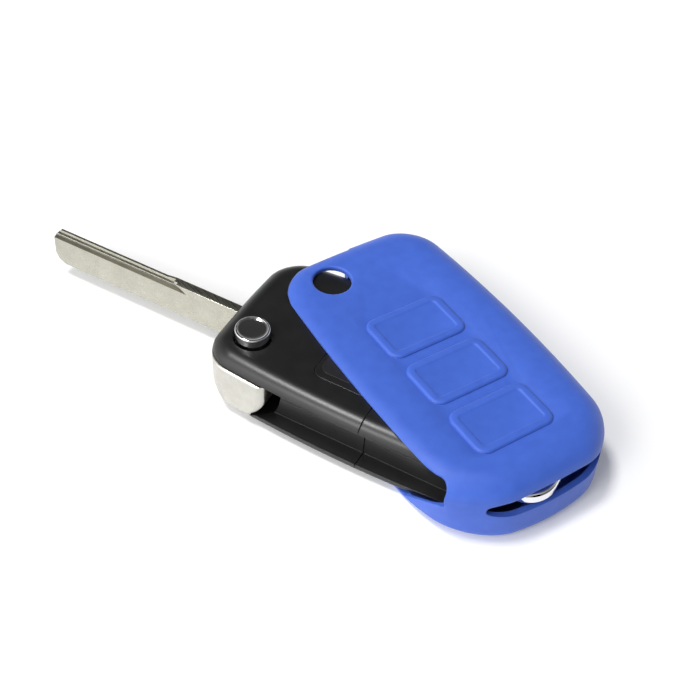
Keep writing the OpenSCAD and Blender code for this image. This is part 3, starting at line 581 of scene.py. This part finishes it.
def surface(name, first, second, rough, grain, metallic=0.0, bump=PLAIN_BUMP, stretch=EVEN, edge=WORN_EDGE):
    """A finish whose colour, roughness and relief vary with a grain of that size."""
    material, tree, shader = new_material(name)
    shader.inputs["Metallic"].default_value = metallic
    fine = noise(tree, grain, FINE_DETAIL, stretch)
    broad = noise(tree, BROAD_GRAINS * grain, BROAD_DETAIL)
    tree.links.new(tinted(tree, broad, first, second), shader.inputs["Base Color"])
    tree.links.new(spread(tree, fine, *rough), shader.inputs["Roughness"])
    tree.links.new(bumps(tree, edge, fine, *bump), shader.inputs["Normal"])
    return material


def silicone():
    """Soft blue silicone with a slight sheen."""
    material = surface("silicone", first=(0.048, 0.124, 0.58), second=(0.054, 0.138, 0.62),
        rough=(0.46, 0.56), grain=0.22, bump=(0.25, 0.012), edge=0.4)
    shader = shader_of(material)
    shader.inputs["Sheen Weight"].default_value = 0.12
    shader.inputs["Sheen Roughness"].default_value = 0.4
    shader.inputs["Specular IOR Level"].default_value = 0.4
    return material


def black_plastic():
    """Fine grained black plastic."""
    material = surface("shell_black", first=(0.009, 0.009, 0.009), second=(0.013, 0.013, 0.013),
        rough=(0.30, 0.36), grain=0.3, bump=(0.2, 0.008), edge=0.25)
    shader_of(material).inputs["Specular IOR Level"].default_value = 0.55
    return material


def blade_steel():
    """Satin steel, brushed along the blade."""
    return surface("blade_steel", first=(0.47, 0.46, 0.395), second=(0.525, 0.515, 0.445),
        rough=(0.24, 0.34), grain=0.25, metallic=1.0, bump=(0.25, 0.01), stretch=(1.0, 0.06, 1.0),
        edge=0.05)


def painted_shade_steel():
    """Darker steel painted on the relief's foot as painted shade, the dark reflection that up-facing step
    would catch; rougher than the polished face.
    """
    return surface("painted_shade_steel", first=(0.10, 0.095, 0.07), second=(0.14, 0.13, 0.10),
        rough=(0.35, 0.45), grain=0.25, metallic=1.0)


def hub_silver():
    """Satin plated zinc."""
    return surface("hub_silver", first=(0.59, 0.58, 0.53), second=(0.65, 0.64, 0.595),
        rough=(0.26, 0.34), grain=0.2, metallic=1.0, bump=(0.2, 0.01))


def chrome(name):
    """Bright plating."""
    return surface(name, first=(0.80, 0.80, 0.81), second=(0.88, 0.88, 0.89),
        rough=(0.07, 0.13), grain=0.4, metallic=1.0, bump=(0.1, 0.004))


def dress_inner():
    """Finishes the CAD pieces that keep their own shape."""
    for *finish, nodes in INNER_FINISHES:
        material = surface(*finish)
        for node in nodes:
            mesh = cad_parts[node].data
            mesh.materials.clear()
            mesh.materials.append(material)


def side_mouth():
    """Opening of the long side, drawn across and swept through the wall."""
    y0 = SKIRT_R - WALL_START
    y1 = MOUTH_R - WALL_START
    z0 = SKIRT_H + SKIRT_R
    z1 = ROOF_Z - MOUTH_R
    rows = [(COVER_L, FLOOR_T), (-SKIRT_START, FLOOR_T)]
    rows += [(y0 - SKIRT_R * math.sin(a), z0 - SKIRT_R * math.cos(a)) for a in quarter(ROUND_STEPS)]
    rows += [(y1 - MOUTH_R * math.cos(a), z1 + MOUTH_R * math.sin(a)) for a in quarter(ROUND_STEPS)]
    rows += [(COVER_L, ROOF_Z)]
    inner = [(FOLD_GAP - SLOT_IN, *p) for p in rows]
    outer = [(-COVER_W, *p) for p in rows]
    return loft("mouth", [inner, outer])


def tail_slot():
    """Almond shaped slot through the tail wall."""
    rows = []
    for i in range(FINE):
        a = 2 * math.pi * i / FINE
        across = math.copysign(abs(math.cos(a)) ** SLOT_POWER, math.cos(a))
        up = math.copysign(abs(math.sin(a)) ** SLOT_POWER, math.sin(a))
        rows.append((across * SLOT_HALF_W, SLOT_Z + SLOT_LIFT + up * SLOT_HALF_H))
    y0 = TAIL_CORNER_R - COVER_L / 2
    front = [(x, y0, z) for x, z in rows]
    back = [(x, y0 - 2 * TAIL_CORNER_R, z) for x, z in rows]
    return loft("slot", [front, back])


def eased(share):
    """Soft step from 0 to 1."""
    return share * share * (3 - 2 * share)


def pad(y):
    """One raised pad with a soft edge and a shallow field inside it."""
    shares = [i / PAD_STEPS for i in range(PAD_STEPS + 1)]
    steps = [(0.0, -PAD_ROOT)]
    steps += [(PAD_EDGE * t, PAD_H * eased(t)) for t in shares]
    steps += [(FIELD_IN + FIELD_EDGE * t, PAD_H - FIELD_DEPTH * eased(t)) for t in shares]
    rings = []
    for inset, rise in steps:
        outline = rounded(PAD_W - 2 * inset, PAD_L - 2 * inset, max(PAD_R - inset, LEAST_R), (PAD_X, y))
        rings.append([(*q, COVER_H + rise) for q in outline])
    return loft("pad", rings)


def pad_groove(y):
    """Fine groove round a pad."""
    rings = []
    for out, z in ((PAD_GROOVE_FLOOR, -PAD_GROOVE_D), (PAD_GROOVE_W, 0.0), (PAD_GROOVE_W, OVER)):
        outline = rounded(PAD_W + 2 * out, PAD_L + 2 * out, PAD_R + out, (PAD_X, y))
        rings.append([(*q, COVER_H + z) for q in outline])
    return loft("groove", rings)


def button_hole():
    """Round hole for the release button, its upper edge drawn round."""
    r = HOLE_D / 2
    profile = [(r, ROOF_Z - OVER)]
    for a in quarter(ROUND_STEPS):
        profile.append((r + HOLE_BEVEL * (1 - math.cos(a)), COVER_H - HOLE_BEVEL * (1 - math.sin(a))))
    profile.append((r + HOLE_BEVEL, COVER_H + OVER))
    return moved(lathe("hole", profile), PIVOT)


def beyond_lip():
    """What lies beyond the open lip's slightly bowed edge."""
    within = circle(LIP_ARC_R, LIP_STEPS, (LIP_ARC_R - LIP_EDGE, -LIP_ARC_MID))
    beyond = box((-FAR, -FAR, -OVER), (0, FAR, COVER_H + OVER))
    return minus(beyond, prism(within, -2 * OVER, COVER_H + 2 * OVER))


def cover_piece():
    """Silicone cover with its pads, mouth, slot and button hole."""
    outer = pillow("cover", 0, (LOW_LIP, TOP_LIP), 0, COVER_H, LOW_ROUND, TOP_ROUND)
    room = pillow("room", WALL_T, (LOW_LIP, TOP_LIP), FLOOR_T, ROOF_Z, INNER_LOW, INNER_ROUND)
    head = box((-FAR, PIVOT.y - POCKET_R, FLOOR_T), (HEAD_WALL_X, FAR, ROOF_Z))
    places = [PAD_Y - i * PAD_PITCH for i in (-1, 0, 1)]
    minus(outer, *[pad_groove(y) for y in places])
    plus(outer, *[pad(y) for y in places])
    minus(outer, room, side_mouth(), tail_slot(), button_hole(), head, beyond_lip())
    placed(smoothed(outer), "cover_skin", "cover", ["silicone_cover"], silicone(), seated=False)


def bowl(r, low, z0, z1):
    """Round plate whose side draws in towards its bottom."""
    turns = quarter(CORNER_STEPS)
    profile = [(r - low[0] * (1 - math.sin(a)), z0 + low[1] * (1 - math.cos(a))) for a in turns]
    return lathe("bowl", profile + [(r, z1)])


def key_block():
    """Key body as one solid."""
    return pillow("block", KEY_INSET, (NO_LIP, NO_LIP), KEY_Z0, KEY_Z1, KEY_LOW, KEY_ROUND)


def key_room():
    """Room inside the key."""
    room = pillow("room", KEY_INSET + SHELL_T, (NO_LIP, NO_LIP), KEY_IN_Z0, KEY_IN_Z1, LEAST_R,
        (KEY_INNER_R, KEY_INNER_R))
    return minus(room,
        box((-FAR, -FAR, 0), (SHELL_T - SLOT_IN, FAR, COVER_H)),
        rod(2 * (POCKET_R + POCKET_WALL), 0, COVER_H, PIVOT.xy),
        box((-FAR, PIVOT.y, 0), (CHANNEL_X + POCKET_WALL, FAR, COVER_H)),
        box((-NOTCH_HALF_W - SHELL_T, -FAR, 0), (NOTCH_HALF_W + SHELL_T, SHELL_T + NOTCH_Y, COVER_H)))


def bow_solid(g):
    """Plain bow, grown by g."""
    l = BOW_REACH - BOW_LEGS + 2 * BOW_R + 2 * g
    centre = (-BOW_SHIFT, -(BOW_REACH + BOW_LEGS) / 2 + BOW_R)
    outline = rounded(2 * BOW_HALF_W + 2 * g, l, BOW_R, centre)
    return minus(prism(outline, SLOT_Z - BOW_T / 2 - g, SLOT_Z + BOW_T / 2 + g),
        box((g - BOW_HALF_W + BOW_BAR - BOW_SHIFT, -BOW_REACH + BOW_BAR + g, 0),
            (BOW_HALF_W - BOW_BAR - g - BOW_SHIFT, 0, COVER_H)),
        box((-FAR, g - BOW_LEGS, 0), (FAR, FAR, COVER_H)))


def without_cuts(obj):
    """Takes out what the hub, the blade, the tail notch and the bow take from the key."""
    return minus(obj,
        moved(bowl(POCKET_R, BOWL, POCKET_Z0, SLOT_Z1), PIVOT),
        box((-FAR, PIVOT.y, SLOT_Z0), (CHANNEL_X, FAR, SLOT_Z1)),
        box((-FAR, PIVOT.y - BLADE_L - FOLD_GAP, SLOT_Z0), (-SLOT_IN, PIVOT.y, SLOT_Z1)),
        box((-NOTCH_HALF_W, -FAR, 0), (NOTCH_HALF_W, NOTCH_Y, COVER_H)),
        bow_solid(PART_GAP))


def remote_zone(g, panel):
    """Region of the remote unit, grown by g; the panel counts for the upper side."""
    zone = box((-FAR, -FAR, -OVER), (FAR, SEAM_Y + g, COVER_H + OVER))
    if panel:
        middle = ((PANEL_LEFT + PANEL_RIGHT) / 2, PANEL_FRONT - FAR / 2)
        outline = rounded(PANEL_RIGHT - PANEL_LEFT + 2 * g, FAR + 2 * g, PANEL_R + g, middle)
        plus(zone, prism(outline, -OVER, COVER_H + OVER))
    return zone


def half(upper):
    """Upper or lower half of the key body."""
    block = key_block()
    z0 = SPLIT_Z + PART_GAP if upper else -FAR
    z1 = FAR if upper else SPLIT_Z - PART_GAP
    both(block, box((-FAR, -FAR, z0), (FAR, FAR, z1)))
    return without_cuts(minus(block, key_room()))


def shells():
    """Four black shells of the blade unit and the remote unit."""
    upper = half(True)
    head = minus(copied(upper, "head_upper"), remote_zone(PANEL_GAP / 2, True),
        rod(RELEASE_HOLE_D, SLOT_Z1 - OVER, FAR, PIVOT.xy))
    remote = both(upper, remote_zone(-PANEL_GAP / 2, True))
    lower = half(False)
    trim = box((-FAR, PIVOT.y - CORNER_START, 0), (PIVOT.x, FAR, SLOT_Z0 + OVER))
    minus(trim, pillow("corner", KEY_INSET + CORNER_BACK, (NO_LIP, NO_LIP), KEY_Z0, KEY_Z1, LEAST_R,
        (LEAST_R, LEAST_R)))
    head_low = minus(copied(lower, "head_lower"), remote_zone(PANEL_GAP / 2, False), trim)
    remote_low = both(lower, remote_zone(-PANEL_GAP / 2, False))
    black = black_plastic()
    for obj, node in ((head, "head_upper_shell"), (remote, "remote_upper_shell"),
            (head_low, "head_lower_shell"), (remote_low, "remote_lower_shell")):
        placed(smoothed(obj), node.replace("shell", "skin"), "key", [node], black)


def shoulder_corner():
    """Keeps all of the hub's cheek but the shoulder's lower corner, which it draws round."""
    rows = corner(SHOULDER_LOW_R - SHOULDER_BACK, HUB_Z0 + SHOULDER_LOW_R, SHOULDER_LOW_R, 180)
    rows += [(HUB_REACH, HUB_Z0), (HUB_REACH, HUB_Z1), (-SHOULDER_BACK, HUB_Z1)]
    return loft("corner", [[(-HUB_REACH, *p) for p in rows], [(OVER, *p) for p in rows]])


def hub():
    """Silver hub that carries the blade."""
    cheek = moved(bowl(CHEEK_R, CHEEK_LOW, HUB_Z0, HUB_Z1), (0, -CHEEK_BACK, 0))
    block = moved(pillow("block", KEY_INSET - HUB_OUT, (NO_LIP, NO_LIP), HUB_Z0, HUB_Z1, HUB_LOW_R,
        (HUB_TOP_R, HUB_TOP_R)), -PIVOT)
    outline = plus(
        box((-HUB_REACH, SHOULDER_R - SHOULDER_BACK, HUB_Z0 - OVER), (0, HUB_REACH, HUB_Z1 + OVER)),
        box((-SHOULDER_X, -SHOULDER_BACK, HUB_Z0 - OVER), (0, 0, HUB_Z1 + OVER)),
        rod(2 * SHOULDER_R, HUB_Z0 - OVER, HUB_Z1 + OVER, (-SHOULDER_X, SHOULDER_R - SHOULDER_BACK)))
    both(cheek, block, outline, shoulder_corner())
    plus(cheek, box((BLOCK_IN, -BLOCK_BACK, HUB_Z0), (FAR_FACE, BLOCK_FRONT, HUB_Z1)))
    both(cheek, bowl(HUB_REACH, BOWL, HUB_Z0, HUB_Z1))
    plus(cheek, rod(2 * HUB_R, HUB_Z0, HUB_Z1))
    minus(cheek,
        box((NEAR_FACE - PART_GAP, -FAR, BLADE_Z - TANG_H / 2 - PART_GAP),
            (FAR, FAR, BLADE_Z + TANG_H / 2 + PART_GAP)),
        rod(RELEASE_SEAT_D, RELEASE_SEAT_Z, HUB_Z1 + OVER),
        rod(RELEASE_STEM_D + 2 * RUN_FIT, HUB_Z0 - OVER, HUB_Z1),
        rod(FLIP_SEAT_D, HUB_Z0 - OVER, HUB_Z0 + FLIP_SEAT_H))
    moved(cheek, PIVOT)
    placed(smoothed(cheek), "hub_skin", "blade", ["blade_hub"], hub_silver())


def blade_bar():
    """Tang and blade with its tip cut at both corners, as one flat bar."""
    rows = [(-BLOCK_BACK, BLADE_Z - TANG_H / 2), (BLOCK_FRONT, BLADE_Z - TANG_H / 2),
        (BLOCK_FRONT, BLADE_Z0), (BLADE_L - TIP_L, BLADE_Z0), (BLADE_L - TIP_CUT, BLADE_Z0 + TIP_CUT),
        (BLADE_L, BLADE_Z0 + TIP_L), (BLADE_L, BLADE_TOP - TIP_CUT), (BLADE_L - TIP_CUT, BLADE_TOP),
        (GROOVE_END + TIP_L, BLADE_TOP), (GROOVE_END, BLADE_Z1), (BLOCK_FRONT, BLADE_Z1),
        (BLOCK_FRONT, BLADE_Z + TANG_H / 2), (-BLOCK_BACK, BLADE_Z + TANG_H / 2)]
    return loft("blade", [[(x, *p) for p in rows] for x in (NEAR_FACE, FAR_FACE)])


def blade_groove():
    """Groove along the middle of the blade's upper edge."""
    return box((BLADE_OFF - GROOVE_W / 2, GROOVE_END, BLADE_TOP - GROOVE_D),
        (BLADE_OFF + GROOVE_W / 2, BLADE_L + OVER, BLADE_Z1 + OVER))


def blade_relief():
    """Relief of the near face beside the groove, its foot rising into the blade."""
    sides = []
    for depth in (-OVER, RELIEF_D):
        foot = RELIEF_Z + RELIEF_RISE * depth / RELIEF_D
        rows = [(GROOVE_END - RELIEF_RUN, foot), (BLADE_L + OVER, foot),
            (BLADE_L + OVER, BLADE_Z1 + OVER), (GROOVE_END, BLADE_Z1 + OVER)]
        sides.append([(NEAR_FACE + depth, *p) for p in rows])
    return loft("relief", sides)


def on_step(face):
    """Whether a face of the blade belongs to the relief's foot, which is painted darker as painted shade.
    """
    above = RELIEF_Z - EDGE_ROUND < face.center.z
    below = face.center.z < RELIEF_Z + RELIEF_RISE + EDGE_ROUND
    return face.normal.z > STEP_TILT and above and below


def blade():
    """Flat blade with its edges slightly rounded and its relief's foot painted darker as painted shade, and
    rougher.
    """
    steel = minus(blade_bar(), blade_groove(), blade_relief())
    edges = steel.modifiers.new("edges", "BEVEL")
    edges.width = EDGE_ROUND
    edges.segments = EDGE_STEPS
    edges.limit_method = "ANGLE"
    smoothed(moved(baked(steel), PIVOT))
    step = [face.index for face in steel.data.polygons if on_step(face)]
    placed(steel, "blade_skin", "blade", ["key_blade"], blade_steel())
    # The relief's foot gets darker steel: painted shade standing in for the dark it reflects.
    steel.data.materials.append(painted_shade_steel())
    for index in step:
        steel.data.polygons[index].material_index = 1


def release():
    """Bright round button with a rolled rim and a dished middle."""
    turns = quarter(ROUND_STEPS)
    r = RELEASE_D / 2
    rim = RELEASE_TOP - RIM_INNER
    depth = DISH_D - RIM_INNER
    profile = [(RELEASE_STEM_D / 4, RELEASE_STEM_Z), (RELEASE_STEM_D / 2, RELEASE_STEM_Z),
        (RELEASE_STEM_D / 2, RELEASE_FLANGE_Z), (RELEASE_FLANGE_D / 2, RELEASE_FLANGE_Z),
        (RELEASE_FLANGE_D / 2, HUB_Z1), (r, HUB_Z1)]
    for a in turns:
        profile.append((r - RIM_ROUND * (1 - math.cos(a)), RELEASE_TOP - RIM_ROUND * (1 - math.sin(a))))
    for a in reversed(turns[:-1]):
        profile.append((DISH_R + RIM_INNER * math.cos(a), RELEASE_TOP - RIM_INNER * (1 - math.sin(a))))
    for a in turns[1:-1]:
        profile.append((DISH_R * math.cos(a), rim - depth * math.sin(a)))
    profile.append((DISH_R / FINE, RELEASE_TOP - DISH_D))
    button = moved(lathe("release", profile), PIVOT)
    placed(smoothed(button), "release_skin", "release", ["release_button"], chrome("button_chrome"))


def bow_path():
    """Middle line of the bow's bar, each place with its outward direction."""
    x = BOW_HALF_W - BOW_R
    y = BOW_R - BOW_REACH
    r = BOW_R - BOW_BAR / 2
    path = [((-x - r, -BOW_LEGS), (-1.0, 0.0))]
    for side, start in ((-1, 180), (1, 270)):
        for out in corner(0, 0, 1, start):
            path.append(((side * x + r * out[0], y + r * out[1]), out))
    path.append(((x + r, -BOW_LEGS), (1.0, 0.0)))
    return path


def bow():
    """Bright bow, a bar of rounded section bent twice."""
    section = rounded(BOW_BAR, BOW_T, BOW_ROUND)
    rings = []
    for (x, y), (out_x, out_y) in bow_path():
        rings.append([(x - BOW_SHIFT + out_x * across, y + out_y * across, SLOT_Z + up)
            for across, up in section])
    bar = loft("bow", rings)
    placed(smoothed(bar), "bow_skin", "key", ["keyring_bow"], chrome("chrome"))


def camera():
    """The photograph's view."""
    level = math.cos(CAMERA_RISE)
    back = Vector((math.sin(CAMERA_TURN) * level, -math.cos(CAMERA_TURN) * level, math.sin(CAMERA_RISE)))
    right = (-back).cross(Vector((0, 0, 1))).normalized()
    up = right.cross(-back)
    turned = right * math.cos(CAMERA_ROLL) + up * math.sin(CAMERA_ROLL)
    risen = up * math.cos(CAMERA_ROLL) - right * math.sin(CAMERA_ROLL)
    data = bpy.data.cameras.new("camera")
    data.sensor_width = SENSOR
    data.lens = FOCAL_PX * SENSOR / IMAGE_PX
    data.clip_start = CAMERA_CLIP * MM
    obj = bpy.data.objects.new("camera", data)
    obj.matrix_world = Matrix((turned, risen, back)).transposed().to_4x4()
    obj.location = (CAMERA_TARGET + back * CAMERA_DISTANCE) * MM
    bpy.context.scene.collection.objects.link(obj)
    bpy.context.scene.camera = obj


def background_rays(tree):
    """1 for the rays that should see a white background, 0 for the light on the object."""
    path = tree.nodes.new("ShaderNodeLightPath")
    rays = path.outputs["Is Camera Ray"]
    for kind in ("Is Glossy Ray", "Is Transmission Ray"):
        either = tree.nodes.new("ShaderNodeMath")
        either.operation = "MAXIMUM"
        tree.links.new(rays, either.inputs[0])
        tree.links.new(path.outputs[kind], either.inputs[1])
        rays = either.outputs["Value"]
    return rays


def floor():
    """Pale floor that takes the object's shadow and shows white where nothing shades it."""
    corners = [(x * FLOOR_HALF, y * FLOOR_HALF, 0) for x, y in ((-1, -1), (1, -1), (1, 1), (-1, 1))]
    plane = solid("floor", corners, [(0, 1, 2, 3)])
    plane.location.z = -PART_GAP * MM
    material, tree, shader = new_material("floor")
    shader.inputs["Base Color"].default_value = FLOOR_COLOUR
    shader.inputs["Roughness"].default_value = FLOOR_ROUGHNESS
    shader.inputs["Specular IOR Level"].default_value = FLOOR_SPECULAR
    shader.inputs["Emission Color"].default_value = WHITE
    glow = tree.nodes.new("ShaderNodeMath")
    glow.operation = "MULTIPLY"
    glow.inputs[1].default_value = FLOOR_GLOW
    tree.links.new(background_rays(tree), glow.inputs[0])
    tree.links.new(glow.outputs["Value"], shader.inputs["Emission Strength"])
    plane.data.materials.append(material)


def lamp(name, direction, size, share):
    """Soft square lamp, its size given a metre off, that gives this share of the floor's full light."""
    toward = Vector(direction).normalized()
    data = bpy.data.lights.new(name, "AREA")
    data.size = size * LAMP_DISTANCE
    data.energy = share * (math.pi * LAMP_DISTANCE) ** 2 / toward.z
    obj = bpy.data.objects.new(name, data)
    obj.location = toward * LAMP_DISTANCE
    obj.rotation_euler = toward.to_track_quat("Z", "Y").to_euler()
    bpy.context.scene.collection.objects.link(obj)


def shaded_side(tree, toward, start, full):
    """1 within the inner angle about a direction, 0 outside the outer one."""
    place = tree.nodes.new("ShaderNodeTexCoord")
    dot = tree.nodes.new("ShaderNodeVectorMath")
    dot.operation = "DOT_PRODUCT"
    dot.inputs[1].default_value = Vector(toward).normalized()
    tree.links.new(place.outputs["Generated"], dot.inputs[0])
    ramp = tree.nodes.new("ShaderNodeMapRange")
    ramp.interpolation_type = "SMOOTHSTEP"
    ramp.inputs["From Min"].default_value = math.cos(math.radians(start))
    ramp.inputs["From Max"].default_value = math.cos(math.radians(full))
    tree.links.new(dot.outputs["Value"], ramp.inputs["Value"])
    return ramp.outputs["Result"]


def room_light():
    """Pale room with dark cloths and a bright wall, which the glossy surfaces show."""
    world = bpy.data.worlds.new("studio")
    bpy.context.scene.world = world
    world.use_nodes = True
    tree = world.node_tree
    level = None
    for toward, start, full, depth in SHADES:
        cut = tree.nodes.new("ShaderNodeMath")
        cut.operation = "MULTIPLY_ADD"
        cut.inputs[1].default_value = -depth
        cut.inputs[2].default_value = ROOM_LEVEL
        tree.links.new(shaded_side(tree, toward, start, full), cut.inputs[0])
        if level:
            tree.links.new(level, cut.inputs[2])
        level = cut.outputs["Value"]
    shade = tree.nodes["Background"]
    shade.inputs["Color"].default_value = WHITE
    tree.links.new(level, shade.inputs["Strength"])


camera()
floor()
lamp(*KEY_LAMP)
lamp(*LEFT_LAMP)
room_light()
cover_piece()
shells()
hub()
blade()
release()
bow()
dress_inner()
bpy.context.scene.view_settings.view_transform = "Standard"
